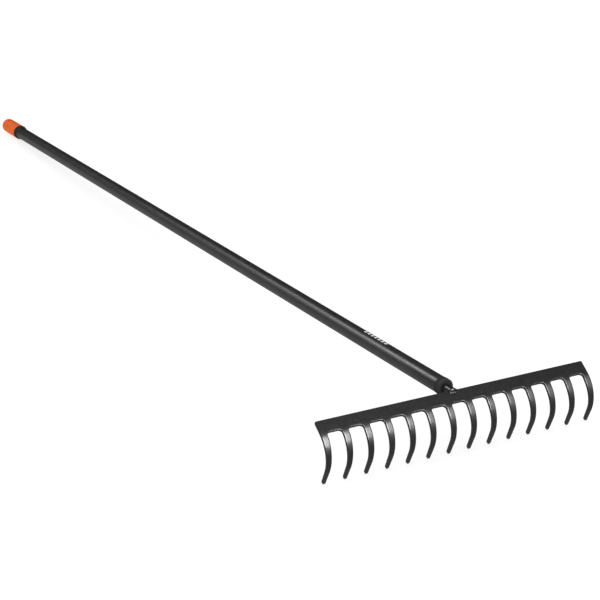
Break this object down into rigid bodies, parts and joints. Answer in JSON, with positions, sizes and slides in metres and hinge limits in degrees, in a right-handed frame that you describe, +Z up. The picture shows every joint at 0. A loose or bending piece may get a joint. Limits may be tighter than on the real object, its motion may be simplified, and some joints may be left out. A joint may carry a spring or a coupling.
{
  "type": "garden rake",
  "caption": "Level-head garden rake: curved steel tines stamped with a flat slanted bar, a straight round tang and a long coated tube handle with an orange hanging cap.",
  "frame": {"origin": "on the floor under the middle of the rake's box, as the rake lies on its tine tips and on its cap", "axes": "+X along the head, +Y from the head to the cap, +Z up; the front of the head faces -Y"},
  "size_m": [0.362, 1.6688, 0.081],
  "materials": {
    "head_coat": "satin black powder coat",
    "tube_coat": "satin black coating over thin steel tube",
    "black_plastic": "matte moulded black",
    "bush_plastic": "matte natural nylon",
    "pin_steel": "plain spring steel",
    "cap_plastic": "semi-gloss moulded orange",
    "mark_ink": "flat white printed mark"
  },
  "bodies": {
    "root": {"rake_head": "head_coat", "tang": "head_coat", "tang_weld": "head_coat", "tang_plug": "black_plastic", "tang_bush": "bush_plastic", "tang_pin": "pin_steel", "handle_tube": "tube_coat", "cap_collar": "black_plastic", "end_cap": "cap_plastic"}
  },
  "joints": []
}
